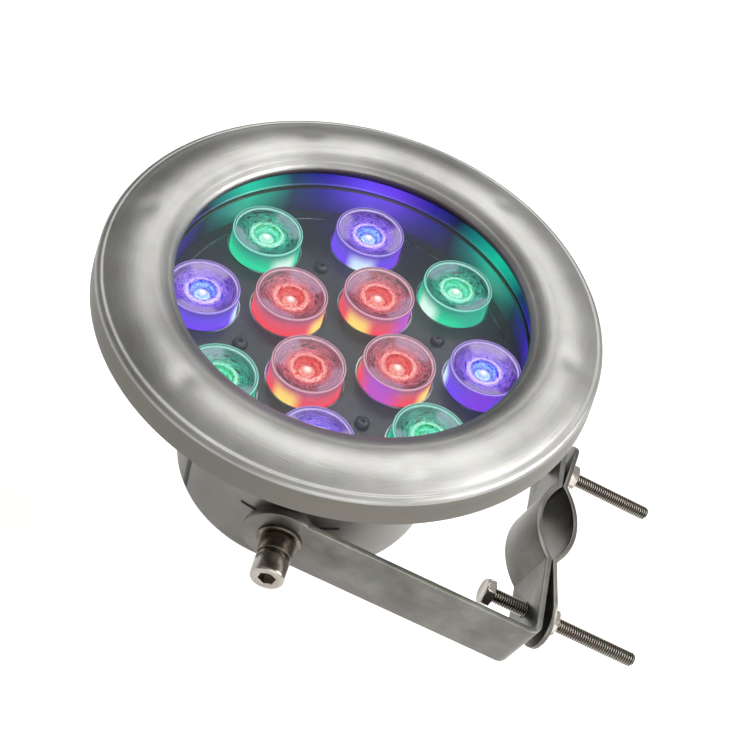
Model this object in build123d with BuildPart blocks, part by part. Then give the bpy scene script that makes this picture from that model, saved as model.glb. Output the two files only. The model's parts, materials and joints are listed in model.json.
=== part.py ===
"""Underwater pond light: a stainless lamp head that tilts in a pipe-clamp yoke.

Row frame, in millimetres: the pipe or post that the yoke clamps runs along Z, the arms run from the
clamp along +X to the head, and the head tilts about an axis along Y. The origin is the centre of the
clamp opening, in the plane where the clamp plate meets the yoke.
"""

import os
from math import cos, radians, sin

from build123d import *

os.makedirs("parts", exist_ok=True)

# ---- Driving dimensions: yoke and pipe clamp ----
PIVOT_X = 105.0            # tilt axis, from the outer face of the yoke's web
REST_TILT = 13.0           # degrees that the head leans away from the clamp at rest
STRIP_WIDTH = 26.0
STRIP_THICKNESS = 2.5
ARM_INNER_Y = 53.5         # half the gap between the arms
ARM_END_RADIUS = 14.5
BEND_RADIUS = 5.5
SADDLE_HALF_CHORD = 19.0
SADDLE_DEPTH = 7.0
BOLT_HALF_SPACING = 37.5
BOLT_RADIUS = 3.0          # M6
BOLT_LENGTH = 65.0
BOLT_BLANK_RADIUS = 2.75   # mean thread radius, over the length that stays inside the strips and nut
FREE_THREAD = 35.7         # the length beyond the nut, where something may be bolted on
BOLT_STAND_OFF = 15.0      # from the web's inner face to the underside of the head
HEX_ACROSS_FLATS = 10.0
HEX_HEAD_HEIGHT = 4.0
NUT_HEIGHT = 5.0
PLATE_THICKNESS = 2.0
PLATE_HALF_LENGTH = 50.0
PLATE_TOE = 9.0            # degrees that the plate's ends are set away from the web
PLATE_GAP = 0.3

# ---- Driving dimensions: lamp head, radii and heights from the tilt axis ----
BEZEL_RADIUS = 92.6
BEZEL_SKIRT_LOW = 69.3
BEZEL_TOP = 85.2
OPENING_RADIUS = 64.6
SHEET = 1.2
GLASS_RADIUS = 75.0
GLASS_LOW = 68.2
GLASS_TOP = 73.2
FLANGE_RADIUS = 87.0
FLANGE_LOW = 65.0
PAN_RADIUS = 72.0
PAN_LOW = 42.0
CUP_RADIUS = 52.0
CUP_LOW = -23.0
STUD_CIRCLE_RADIUS = 80.0
STUD_COUNT = 6
STUD_ANGLE = -4.0
OPTIC_RADIUS = 13.5
OPTIC_TOP = 60.0
OUTER_RING_RADIUS = 53.6
INNER_RING_RADIUS = 24.0
ARRAY_ANGLE = -43.0        # azimuth of the first optic of the outer ring
BOARD_TOP = 47.2
PLATE_TOP = 51.0
PIVOT_RADIUS = 4.0         # M8
CABLE_RADIUS = 3.6

# ---- Planes and axes ----
tilt = radians(REST_TILT)
head = Plane(origin=(PIVOT_X, 0, 0), x_dir=(cos(tilt), 0, -sin(tilt)), z_dir=(sin(tilt), 0, cos(tilt)))
half_section = Plane(origin=head.origin, x_dir=head.x_dir, z_dir=-head.y_dir)
lamp_axis = Axis(head.origin, head.z_dir)


def save(part, label):
    """Label a finished piece and write it to its own STEP file."""
    part.label = label
    export_step(part, f"parts/{label}.step")


def ring_spots(radius, count, first_angle):
    """Points evenly spaced on a circle, in the head's own plane."""
    return PolarLocations(radius, count, start_angle=first_angle)


def on_side(side, distance):
    """A plane across the tilt axis, on one side, whose normal points away from the head."""
    return Plane(origin=(PIVOT_X, side * distance, 0), x_dir=head.x_dir, z_dir=(0, side, 0))


# ---- Bezel: one spun sheet, from the skirt over the convex face to the lip on the glass ----
with BuildPart() as bezel:
    with BuildSketch(half_section):
        with BuildLine():
            lip_turn = GLASS_TOP + 1.5
            Polyline((89.8, 80.0), (BEZEL_RADIUS - SHEET, BEZEL_SKIRT_LOW), (BEZEL_RADIUS, BEZEL_SKIRT_LOW),
                     (91.0, 80.2))
            ThreePointArc((91.0, 80.2), (90.6, 82.4), (88.8, 83.0))
            Line((88.8, 83.0), (87.4, 82.4))
            ThreePointArc((87.4, 82.4), (78.5, BEZEL_TOP), (69.5, 82.9))
            ThreePointArc((69.5, 82.9), (66.0, 80.8), (OPENING_RADIUS, 77.6))
            Polyline((OPENING_RADIUS, 77.6), (OPENING_RADIUS, lip_turn), (GLASS_RADIUS - 1, lip_turn),
                     (GLASS_RADIUS - 1, lip_turn + SHEET), (OPENING_RADIUS + SHEET, lip_turn + SHEET),
                     (OPENING_RADIUS + SHEET, 77.4))
            ThreePointArc((OPENING_RADIUS + SHEET, 77.4), (67.0, 80.0), (70.0, 81.7))
            ThreePointArc((70.0, 81.7), (78.5, BEZEL_TOP - SHEET), (87.4, 81.1))
            ThreePointArc((87.4, 81.1), (89.2, 81.2), (89.8, 80.0))
        make_face()
    revolve(axis=lamp_axis)
save(bezel.part, "bezel")

# ---- Six studs welded under the bezel face, and the nuts that pull it down on the flange ----
NUT_LOW = FLANGE_LOW - 3.4
with BuildPart() as bezel_studs:
    with BuildSketch(head.offset(NUT_LOW - 1.5)):
        with ring_spots(STUD_CIRCLE_RADIUS, STUD_COUNT, STUD_ANGLE):
            Circle(2.0)
    extrude(amount=BEZEL_TOP - SHEET - 0.6 - (NUT_LOW - 1.5))
save(bezel_studs.part, "bezel_studs")

with BuildPart() as flange_nuts:
    with BuildSketch(head.offset(NUT_LOW)):
        with ring_spots(STUD_CIRCLE_RADIUS, STUD_COUNT, STUD_ANGLE):
            RegularPolygon(3.5, 6, major_radius=False)
            Circle(2.05, mode=Mode.SUBTRACT)
    extrude(amount=3.2)
save(flange_nuts.part, "flange_nuts")

# ---- Front glass between two rubber rings ----
with BuildPart() as front_glass:
    with BuildSketch(head.offset(GLASS_LOW)):
        Circle(GLASS_RADIUS)
    extrude(amount=GLASS_TOP - GLASS_LOW)
    chamfer(front_glass.edges(), 0.6)
save(front_glass.part, "front_glass")

for gasket_name, low, thickness, inner, outer in (
    ("front_gasket", GLASS_TOP, 1.5, OPENING_RADIUS + 0.6, GLASS_RADIUS - 1),
    ("rear_gasket", FLANGE_LOW + SHEET, GLASS_LOW - FLANGE_LOW - SHEET, PAN_RADIUS - 2, GLASS_RADIUS + 1),
):
    with BuildPart() as gasket:
        with BuildSketch(head.offset(low)):
            Circle(outer)
            Circle(inner, mode=Mode.SUBTRACT)
        extrude(amount=thickness)
    save(gasket.part, gasket_name)

# ---- Lamp pan: the wide shell with the bolting flange, the wall and the floor ----
with BuildPart() as lamp_pan:
    with BuildSketch(half_section):
        with BuildLine():
            wall = PAN_RADIUS - SHEET
            Polyline((FLANGE_RADIUS, FLANGE_LOW), (FLANGE_RADIUS, FLANGE_LOW + SHEET),
                     (wall - 3, FLANGE_LOW + SHEET), (wall - 3, FLANGE_LOW), (wall, FLANGE_LOW),
                     (wall, PAN_LOW + SHEET), (CUP_RADIUS - 6, PAN_LOW + SHEET), (CUP_RADIUS - 6, PAN_LOW),
                     (PAN_RADIUS, PAN_LOW), (PAN_RADIUS, FLANGE_LOW), (FLANGE_RADIUS, FLANGE_LOW))
        make_face()
    revolve(axis=lamp_axis)
    with BuildSketch(head.offset(FLANGE_LOW)):
        with ring_spots(STUD_CIRCLE_RADIUS, STUD_COUNT, STUD_ANGLE):
            Circle(2.25)
    extrude(amount=SHEET, mode=Mode.SUBTRACT)
save(lamp_pan.part, "lamp_pan")

# ---- Rear cup: a drawn can welded under the pan, with the cable gland's hole in its floor ----
GLAND_RADIUS = 8.0
with BuildPart() as rear_cup:
    with BuildSketch(half_section):
        with BuildLine():
            round_out = 4.0
            round_in = round_out - SHEET
            Line((CUP_RADIUS, PAN_LOW), (CUP_RADIUS, CUP_LOW + round_out))
            RadiusArc((CUP_RADIUS, CUP_LOW + round_out), (CUP_RADIUS - round_out, CUP_LOW), round_out)
            Polyline((CUP_RADIUS - round_out, CUP_LOW), (GLAND_RADIUS, CUP_LOW),
                     (GLAND_RADIUS, CUP_LOW + SHEET), (CUP_RADIUS - round_out, CUP_LOW + SHEET))
            RadiusArc((CUP_RADIUS - round_out, CUP_LOW + SHEET), (CUP_RADIUS - SHEET, CUP_LOW + round_out),
                      -round_in)
            Polyline((CUP_RADIUS - SHEET, CUP_LOW + round_out), (CUP_RADIUS - SHEET, PAN_LOW),
                     (CUP_RADIUS, PAN_LOW))
        make_face()
    revolve(axis=lamp_axis)
    for side in (1, -1):
        with BuildSketch(on_side(side, 0)):
            Circle(PIVOT_RADIUS + 0.25)
        extrude(amount=CUP_RADIUS + 1, mode=Mode.SUBTRACT)
save(rear_cup.part, "rear_cup")

# ---- Optics plate, LED board and heat spreader, screwed together in the pan ----
SCREW_SPOT_RADIUS = 38.0
SCREW_SPOT_ANGLE = ARRAY_ANGLE - 22.5
inner_angle = ARRAY_ANGLE + 22.5
with BuildPart() as optics_plate:
    with BuildSketch(head.offset(PLATE_TOP - 1.5)):
        Circle(PAN_RADIUS - SHEET - 0.6)
        with ring_spots(OUTER_RING_RADIUS, 8, ARRAY_ANGLE):
            Circle(OPTIC_RADIUS + 0.5, mode=Mode.SUBTRACT)
        with ring_spots(INNER_RING_RADIUS, 4, inner_angle):
            Circle(OPTIC_RADIUS + 0.5, mode=Mode.SUBTRACT)
        with ring_spots(SCREW_SPOT_RADIUS, 4, SCREW_SPOT_ANGLE):
            Circle(1.6, mode=Mode.SUBTRACT)
    extrude(amount=1.5)
save(optics_plate.part, "optics_plate")

SPREADER_LOW = PAN_LOW + SHEET
BOARD_LOW = BOARD_TOP - 1.6
for disc_name, low, top in (("heat_spreader", SPREADER_LOW, BOARD_LOW), ("led_board", BOARD_LOW, BOARD_TOP)):
    with BuildPart() as disc:
        with BuildSketch(head.offset(low)):
            Circle(PAN_RADIUS - SHEET - 1.5)
            with ring_spots(SCREW_SPOT_RADIUS, 4, SCREW_SPOT_ANGLE):
                Circle(1.6, mode=Mode.SUBTRACT)
            Circle(3.5, mode=Mode.SUBTRACT)
        extrude(amount=top - low)
    save(disc.part, disc_name)

with BuildPart() as plate_spacers:
    with BuildSketch(head.offset(BOARD_TOP)):
        with ring_spots(SCREW_SPOT_RADIUS, 4, SCREW_SPOT_ANGLE):
            Circle(3.0)
            Circle(1.6, mode=Mode.SUBTRACT)
    extrude(amount=PLATE_TOP - 1.5 - BOARD_TOP)
save(plate_spacers.part, "plate_spacers")

with BuildPart() as plate_screws:
    with BuildSketch(head.offset(SPREADER_LOW)):
        with ring_spots(SCREW_SPOT_RADIUS, 4, SCREW_SPOT_ANGLE):
            Circle(1.5)
    extrude(amount=PLATE_TOP - SPREADER_LOW)
    with BuildSketch(head.offset(PLATE_TOP)):
        with ring_spots(SCREW_SPOT_RADIUS, 4, SCREW_SPOT_ANGLE):
            Circle(2.8)
    extrude(amount=1.8)
save(plate_screws.part, "plate_screws")

# ---- LEDs and their clear optics: red on the inner ring, green and blue in turn on the outer ----
colours = {
    "red": (INNER_RING_RADIUS, inner_angle),
    "green": (OUTER_RING_RADIUS, ARRAY_ANGLE),
    "blue": (OUTER_RING_RADIUS, ARRAY_ANGLE + 45),
}
for colour, (ring_radius, angle) in colours.items():
    with BuildPart() as leds:
        with BuildSketch(head.offset(BOARD_TOP)):
            with ring_spots(ring_radius, 4, angle):
                Circle(3.8)
        extrude(amount=1.4)
        with BuildSketch(head.offset(BOARD_TOP + 1.4)):
            with ring_spots(ring_radius, 4, angle):
                Circle(2.4)
        extrude(amount=1.8, taper=25)
    save(leds.part, f"leds_{colour}")

    with BuildPart() as optics:
        with BuildSketch(head.offset(BOARD_TOP)):
            with ring_spots(ring_radius, 4, angle):
                Circle(OPTIC_RADIUS)
        extrude(amount=OPTIC_TOP - BOARD_TOP)
        with BuildSketch(head.offset(OPTIC_TOP)):
            with ring_spots(ring_radius, 4, angle):
                Circle(OPTIC_RADIUS - 1.2)
        extrude(amount=-1.2, mode=Mode.SUBTRACT)
        with BuildSketch(head.offset(OPTIC_TOP - 1.2)):
            with ring_spots(ring_radius, 4, angle):
                Circle(5.0)
        extrude(amount=-4.0, mode=Mode.SUBTRACT)
        with BuildSketch(head.offset(BOARD_TOP)):
            with ring_spots(ring_radius, 4, angle):
                Circle(4.4)
        extrude(amount=4.2, mode=Mode.SUBTRACT)
    save(optics.part, f"optics_{colour}")

# ---- Driver: a board on posts in the rear cup, with its coil and capacitors ----
DRIVER_LOW = 8.0
POST_SPOTS = GridLocations(52, 32, 2, 2)
with BuildPart() as driver_posts:
    with BuildSketch(head.offset(CUP_LOW + SHEET)):
        with POST_SPOTS:
            Circle(2.5)
    extrude(amount=DRIVER_LOW - CUP_LOW - SHEET)
save(driver_posts.part, "driver_posts")

with BuildPart() as driver_board:
    with BuildSketch(head.offset(DRIVER_LOW)):
        RectangleRounded(62, 42, 3)
    extrude(amount=1.6)
save(driver_board.part, "driver_board")

with BuildPart() as driver_coil:
    with BuildSketch(head.offset(DRIVER_LOW + 1.6)):
        with Locations((-14, 0)):
            RectangleRounded(20, 24, 2)
    extrude(amount=14)
save(driver_coil.part, "driver_coil")

with BuildPart() as driver_capacitors:
    with BuildSketch(head.offset(DRIVER_LOW + 1.6)):
        with Locations((12, 9), (12, -9)):
            Circle(6.5)
    extrude(amount=18)
save(driver_capacitors.part, "driver_capacitors")

# ---- Cable gland in the cup's floor: body, inside nut, rubber seal and dome nut ----
with BuildPart() as gland_body:
    with BuildSketch(head.offset(CUP_LOW - 8)):
        Circle(GLAND_RADIUS - 0.05)
    extrude(amount=18)
    with BuildSketch(head.offset(CUP_LOW)):
        RegularPolygon(11, 6, major_radius=False)
    extrude(amount=-4)
    with BuildSketch(head.offset(CUP_LOW - 8)):
        Circle(5.0)
    extrude(amount=18, mode=Mode.SUBTRACT)
save(gland_body.part, "gland_body")

with BuildPart() as gland_inside_nut:
    with BuildSketch(head.offset(CUP_LOW + SHEET)):
        RegularPolygon(11, 6, major_radius=False)
        Circle(GLAND_RADIUS, mode=Mode.SUBTRACT)
    extrude(amount=4)
save(gland_inside_nut.part, "gland_inside_nut")

SEAL_TOP = CUP_LOW - 8.2
SEAL_LOW = SEAL_TOP - 5
NOSE_LOW = SEAL_LOW - 5
with BuildPart() as gland_seal:
    with BuildSketch(head.offset(SEAL_LOW)):
        Circle(GLAND_RADIUS - 0.2)
        Circle(CABLE_RADIUS, mode=Mode.SUBTRACT)
    extrude(amount=SEAL_TOP - SEAL_LOW)
save(gland_seal.part, "gland_seal")

with BuildPart() as gland_dome_nut:
    with BuildSketch(head.offset(SEAL_LOW)):
        RegularPolygon(10.5, 6, major_radius=False)
    extrude(amount=CUP_LOW - 4.2 - SEAL_LOW)
    with BuildSketch(head.offset(SEAL_LOW)):
        Circle(9.8)
    extrude(amount=NOSE_LOW - SEAL_LOW, taper=22)
    with BuildSketch(head.offset(SEAL_LOW)):
        Circle(GLAND_RADIUS)
    extrude(amount=CUP_LOW - 4.2 - SEAL_LOW, mode=Mode.SUBTRACT)
    with BuildSketch(head.offset(NOSE_LOW)):
        Circle(CABLE_RADIUS)
    extrude(amount=SEAL_LOW - NOSE_LOW, mode=Mode.SUBTRACT)
save(gland_dome_nut.part, "gland_dome_nut")

# ---- Pivots, one on each side: welded boss, washer, sleeve, spring washer and M8 cap screw ----
ARM_OUTER_Y = ARM_INNER_Y + STRIP_THICKNESS
stack = {}
outward = ARM_OUTER_Y
thicknesses = {"pivot_washers": 1.6, "pivot_sleeves": 7.0, "spring_washers": 2.0, "head": 8.0}
for piece, thickness in thicknesses.items():
    stack[piece] = (outward, thickness)
    outward += thickness

with BuildPart() as pivot_bosses:
    for side in (1, -1):
        with BuildSketch(on_side(side, CUP_RADIUS - 10)):
            Circle(13.0)
        extrude(amount=ARM_INNER_Y - 0.2 - (CUP_RADIUS - 10))
    with BuildSketch(head.offset(-20)):
        Circle(CUP_RADIUS)
    extrude(amount=40, mode=Mode.SUBTRACT)
    for side in (1, -1):
        with BuildSketch(on_side(side, 0)):
            Circle(PIVOT_RADIUS)
        extrude(amount=ARM_INNER_Y, mode=Mode.SUBTRACT)
save(pivot_bosses.part, "pivot_bosses")

for piece, outer, inner in (
    ("pivot_washers", 8.5, PIVOT_RADIUS + 0.1),
    ("pivot_sleeves", 6.6, PIVOT_RADIUS + 0.1),
    ("spring_washers", 6.4, PIVOT_RADIUS + 0.1),
):
    start, thickness = stack[piece]
    with BuildPart() as rings:
        for side in (1, -1):
            with BuildSketch(on_side(side, start)):
                Circle(outer)
                Circle(inner, mode=Mode.SUBTRACT)
            extrude(amount=thickness)
    save(rings.part, piece)

HEAD_START, HEAD_HEIGHT = stack["head"]
with BuildPart() as pivot_screws:
    for side in (1, -1):
        with BuildSketch(on_side(side, ARM_INNER_Y - 7.5)):
            Circle(PIVOT_RADIUS)
        extrude(amount=HEAD_START - ARM_INNER_Y + 7.5)
        with BuildSketch(on_side(side, HEAD_START)):
            Circle(6.5)
        extrude(amount=HEAD_HEIGHT)
        with BuildSketch(on_side(side, HEAD_START + HEAD_HEIGHT)):
            RegularPolygon(3.0, 6, major_radius=False)
        extrude(amount=-4.5, mode=Mode.SUBTRACT)
save(pivot_screws.part, "pivot_screws")

# ---- Yoke: a flat strip bent to a U, with a shallow saddle for the pipe in the middle of its web ----
middle = STRIP_THICKNESS / 2
arm_middle_y = ARM_INNER_Y + middle
with BuildPart() as yoke:
    with BuildSketch(Plane.XY.offset(-ARM_END_RADIUS)):
        with BuildLine() as strip_path:
            for side in (1, -1):
                FilletPolyline(
                    (PIVOT_X + ARM_END_RADIUS, side * arm_middle_y), (middle, side * arm_middle_y),
                    (middle, side * SADDLE_HALF_CHORD), radius=BEND_RADIUS - middle)
            ThreePointArc((middle, SADDLE_HALF_CHORD), (middle + SADDLE_DEPTH, 0),
                          (middle, -SADDLE_HALF_CHORD))
        trace(line_width=STRIP_THICKNESS)
    extrude(amount=2 * ARM_END_RADIUS)
    with BuildSketch(Plane.XZ.offset(-100)):
        with Locations((PIVOT_X / 2, 0)):
            Rectangle(PIVOT_X, STRIP_WIDTH)
        with Locations((PIVOT_X, 0)):
            Circle(ARM_END_RADIUS)
    extrude(amount=200, mode=Mode.INTERSECT)
    with BuildSketch(Plane.XZ.offset(-100)):
        with Locations((PIVOT_X, 0)):
            Circle(PIVOT_RADIUS + 0.05)
    extrude(amount=200, mode=Mode.SUBTRACT)
    with BuildSketch(Plane.YZ.offset(-1)):
        with Locations((BOLT_HALF_SPACING, 0), (-BOLT_HALF_SPACING, 0)):
            Circle(BOLT_RADIUS + 0.3)
    extrude(amount=STRIP_THICKNESS + 2, mode=Mode.SUBTRACT)
save(yoke.part, "yoke")

# ---- Clamp plate: a shorter strip with the matching saddle and toed-out ends ----
toe = radians(PLATE_TOE)
plate_middle = -PLATE_GAP - PLATE_THICKNESS / 2
end_run = PLATE_HALF_LENGTH - SADDLE_HALF_CHORD
plate_end_x = plate_middle - end_run * sin(toe)
with BuildPart() as clamp_plate:
    with BuildSketch(Plane.XY.offset(-STRIP_WIDTH / 2)):
        with BuildLine():
            Line((plate_end_x, PLATE_HALF_LENGTH), (plate_middle, SADDLE_HALF_CHORD))
            ThreePointArc((plate_middle, SADDLE_HALF_CHORD), (plate_middle - SADDLE_DEPTH, 0),
                          (plate_middle, -SADDLE_HALF_CHORD))
            Line((plate_middle, -SADDLE_HALF_CHORD), (plate_end_x, -PLATE_HALF_LENGTH))
        trace(line_width=PLATE_THICKNESS)
    extrude(amount=STRIP_WIDTH)
    with BuildSketch(Plane.YZ.offset(-30)):
        SlotOverall(2 * PLATE_HALF_LENGTH, STRIP_WIDTH)
    extrude(amount=40, mode=Mode.INTERSECT)
    with BuildSketch(Plane.YZ.offset(-20)):
        with Locations((BOLT_HALF_SPACING, 0), (-BOLT_HALF_SPACING, 0)):
            SlotOverall(2 * BOLT_RADIUS + 1.6, 2 * BOLT_RADIUS + 0.6)
    extrude(amount=20, mode=Mode.SUBTRACT)
save(clamp_plate.part, "clamp_plate")

# ---- Clamp bolts and nuts: M6 hexagon bolts, left standing off the web as when the clamp is slack ----
bolt_underside = STRIP_THICKNESS + BOLT_STAND_OFF
nut_edge_run = BOLT_HALF_SPACING + 6.0 - SADDLE_HALF_CHORD    # along the toed end, to under the nut's rim
nut_inner_x = plate_middle - nut_edge_run * sin(toe) - PLATE_THICKNESS / 2 - 0.2
for end, side in (("near", 1), ("far", -1)):
    spot = Plane(origin=(0, side * BOLT_HALF_SPACING, 0), x_dir=(0, 1, 0), z_dir=(1, 0, 0))
    with BuildPart() as clamp_bolt:
        with BuildSketch(spot.offset(bolt_underside - BOLT_LENGTH)):
            Circle(BOLT_RADIUS)
        extrude(amount=FREE_THREAD)
        with BuildSketch(spot.offset(bolt_underside - BOLT_LENGTH + FREE_THREAD)):
            Circle(BOLT_BLANK_RADIUS)
        extrude(amount=BOLT_LENGTH - FREE_THREAD)
        chamfer(clamp_bolt.faces().sort_by(Axis.X)[0].edges(), 0.6)
        with BuildSketch(spot.offset(bolt_underside)):
            RegularPolygon(HEX_ACROSS_FLATS / 2, 6, major_radius=False)
        extrude(amount=HEX_HEAD_HEIGHT)
    save(clamp_bolt.part, f"clamp_bolt_{end}")

    with BuildPart() as clamp_nut:
        with BuildSketch(spot.offset(nut_inner_x)):
            RegularPolygon(HEX_ACROSS_FLATS / 2, 6, major_radius=False)
            Circle(BOLT_RADIUS + 0.05, mode=Mode.SUBTRACT)
        extrude(amount=-NUT_HEIGHT)
    save(clamp_nut.part, f"clamp_nut_{end}")
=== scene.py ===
"""Looks of the underwater pond light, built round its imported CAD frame. Sizes are in metres."""

import json
import math

import bmesh
import bpy
from mathutils import Matrix, Vector, noise


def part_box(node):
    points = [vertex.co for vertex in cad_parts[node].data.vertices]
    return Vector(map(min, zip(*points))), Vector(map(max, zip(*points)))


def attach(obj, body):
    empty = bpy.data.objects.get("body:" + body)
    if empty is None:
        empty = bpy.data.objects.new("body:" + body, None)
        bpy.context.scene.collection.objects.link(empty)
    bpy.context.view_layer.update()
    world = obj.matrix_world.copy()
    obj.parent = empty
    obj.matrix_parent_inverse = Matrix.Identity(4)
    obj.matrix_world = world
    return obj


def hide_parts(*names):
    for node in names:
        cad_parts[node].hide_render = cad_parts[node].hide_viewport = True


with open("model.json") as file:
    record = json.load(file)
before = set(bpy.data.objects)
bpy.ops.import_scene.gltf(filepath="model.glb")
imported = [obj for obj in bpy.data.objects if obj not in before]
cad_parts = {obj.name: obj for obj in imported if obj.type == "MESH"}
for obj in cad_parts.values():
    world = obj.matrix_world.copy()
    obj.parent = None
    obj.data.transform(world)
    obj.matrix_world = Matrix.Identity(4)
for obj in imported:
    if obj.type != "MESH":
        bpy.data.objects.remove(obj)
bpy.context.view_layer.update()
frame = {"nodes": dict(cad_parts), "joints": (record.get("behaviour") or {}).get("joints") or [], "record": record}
nodes = frame["nodes"]
MM = 0.001

# ---------------------------------------------------------------- lamp axis
# The head is a turned body on one axis: it passes through the tilt pivots and leaves by the cable gland.
# Its pieces are drawn upright, heights measured from the tilt axis, and then leaned over with this matrix.
tilt_joint = next(joint for joint in frame["joints"] if joint["name"] == "head_tilt")
gland_mount = next(mount for mount in frame["record"]["mounts"] if mount["name"] == "cable_entry")
pivot = Vector(tilt_joint["pos_m"])
face_normal = -Vector(gland_mount["axis"]).normalized()
across = Vector((0, 1, 0)).cross(face_normal)
lean = Matrix.Translation(pivot) @ Matrix((across, Vector((0, 1, 0)), face_normal)).transposed().to_4x4()
lean_angle = math.atan2(face_normal.x, face_normal.z)

# ---------------------------------------------------------------- camera
# A long lens looks down on the lit face from the side of one arm, rolled so that the clamp is lower right.
camera_data = bpy.data.cameras.new("camera")
camera_data.lens = 69.0
camera = bpy.data.objects.new("camera", camera_data)
bpy.context.collection.objects.link(camera)
bpy.context.scene.camera = camera
CAMERA_AZIMUTH = math.radians(74.7)
CAMERA_HEIGHT = math.radians(45.2)
CAMERA_ROLL = math.radians(-37.4)
CAMERA_DISTANCE = 0.5544
aim = pivot + Vector((-0.0070, -0.0215, 0.0224))
towards = Vector((math.cos(CAMERA_HEIGHT) * math.cos(CAMERA_AZIMUTH),
                  math.cos(CAMERA_HEIGHT) * math.sin(CAMERA_AZIMUTH), math.sin(CAMERA_HEIGHT)))
camera.location = aim + towards * CAMERA_DISTANCE
upright = towards.to_track_quat("Z", "Y").to_matrix().to_4x4()
camera.rotation_euler = (upright @ Matrix.Rotation(-CAMERA_ROLL, 4, "Z")).to_euler()

# ---------------------------------------------------------------- floor and light
# A plain white floor well below the lamp, a key softbox opposite the clamp, a weaker one overhead and a low
# one in front. The room is paler on the key's side, so that bare steel has something to show.


def linear(code):
    """An sRGB hex colour as linear RGBA."""
    channels = [int(code[i:i + 2], 16) / 255 for i in (1, 3, 5)]
    return [c / 12.92 if c <= 0.04045 else ((c + 0.055) / 1.055) ** 2.4 for c in channels] + [1.0]


def add(tree, kind, settings=None, links=None):
    """Adds a node, sets its properties or input values by name, and links its inputs to other sockets."""
    node = tree.nodes.new(kind)
    for name, value in (settings or {}).items():
        if isinstance(name, int) or name in node.inputs:
            node.inputs[name].default_value = value
        else:
            setattr(node, name, value)
    for name, socket in (links or {}).items():
        tree.links.new(socket, node.inputs[name])
    return node


def material(name):
    """A new material with only its output and a Principled shader, already linked."""
    made = bpy.data.materials.new(name)
    made.use_nodes = True
    made.node_tree.nodes.clear()
    shader = add(made.node_tree, "ShaderNodeBsdfPrincipled")
    add(made.node_tree, "ShaderNodeOutputMaterial", links={"Surface": shader.outputs[0]})
    return made, made.node_tree, shader


FLOOR_DROP = 0.150
FLOOR_SIZE = 8
bpy.ops.mesh.primitive_plane_add(size=FLOOR_SIZE, location=(pivot.x, 0, pivot.z - FLOOR_DROP))
floor = bpy.context.object
floor.name = "floor"
# Matt and almost white, so that it drops away behind the lamp and keeps only its soft shadow.
floor_paint, tree, shader = material("white studio paper")
shader.inputs["Base Color"].default_value = linear("#FCFCFB")
shader.inputs["Roughness"].default_value = 0.9
floor.data.materials.append(floor_paint)


def softbox(name, place, size, power, colour="#FFFFFF"):
    """A square area light that looks at the lamp."""
    data = bpy.data.lights.new(name, "AREA")
    data.size = size
    data.energy = power
    data.color = linear(colour)[:3]
    lamp = bpy.data.objects.new(name, data)
    lamp.location = aim + Vector(place)
    lamp.rotation_euler = Vector(place).to_track_quat("Z", "Y").to_euler()
    bpy.context.collection.objects.link(lamp)


softbox("key", (-0.95, 0.10, 0.80), 0.75, 14.0)
softbox("overhead", (0.15, -0.55, 1.20), 0.9, 8.0)
softbox("front", (-0.25, 1.25, 0.25), 0.7, 4.5)

# The room is bright on the key's side and dim behind the lamp's other shoulder.
BRIGHT_SIDE = Vector((-0.62, 0.30, 0.55)).normalized()
world = bpy.data.worlds.new("studio")
bpy.context.scene.world = world
world.use_nodes = True
world.node_tree.nodes.clear()
sky = world.node_tree
place = add(sky, "ShaderNodeTexCoord")
facing = add(sky, "ShaderNodeVectorMath", {"operation": "DOT_PRODUCT", 1: BRIGHT_SIDE},
             {0: place.outputs["Generated"]})
spread = add(sky, "ShaderNodeMapRange", {"From Min": -1.0, "From Max": 1.0},
             {"Value": facing.outputs["Value"]})
ramp = add(sky, "ShaderNodeValToRGB", links={0: spread.outputs[0]})
for position, colour in ((0.25, "#8A8A89"), (0.45, "#9C9B9A"), (0.70, "#C8C7C6"), (1.0, "#FFFFFF")):
    stop = ramp.color_ramp.elements.new(position)
    stop.color = linear(colour)
ramp.color_ramp.elements.remove(ramp.color_ramp.elements[0])
ramp.color_ramp.elements.remove(ramp.color_ramp.elements[-1])
background = add(sky, "ShaderNodeBackground", {"Strength": 1.15}, {"Color": ramp.outputs[0]})
add(sky, "ShaderNodeOutputWorld", links={0: background.outputs[0]})
bpy.context.scene.view_settings.view_transform = "Standard"

# ---------------------------------------------------------------- bezel
# One ring spun from 1.2 mm stainless sheet: skirt, rounded bead, broad convex face and a rolled-in lip.
# It is brushed round its axis on the lathe. The studs welded behind the face leave faint sinks in it.


def arc(start, through, end, steps=10):
    """Points on the circle through three (radius, height) points, the first one left out."""
    (ax, ay), (bx, by), (cx, cy) = start, through, end
    d = 2 * (ax * (by - cy) + bx * (cy - ay) + cx * (ay - by))
    a2, b2, c2 = ax * ax + ay * ay, bx * bx + by * by, cx * cx + cy * cy
    ox = (a2 * (by - cy) + b2 * (cy - ay) + c2 * (ay - by)) / d
    oy = (a2 * (cx - bx) + b2 * (ax - cx) + c2 * (bx - ax)) / d
    first, middle, last = (math.atan2(y - oy, x - ox) for x, y in (start, through, end))
    turn = (last - first) % (2 * math.pi)
    if (middle - first) % (2 * math.pi) > turn:
        turn -= 2 * math.pi
    radius = math.hypot(ax - ox, ay - oy)
    angles = [first + turn * i / steps for i in range(1, steps + 1)]
    return [(ox + radius * math.cos(angle), oy + radius * math.sin(angle)) for angle in angles]


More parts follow.
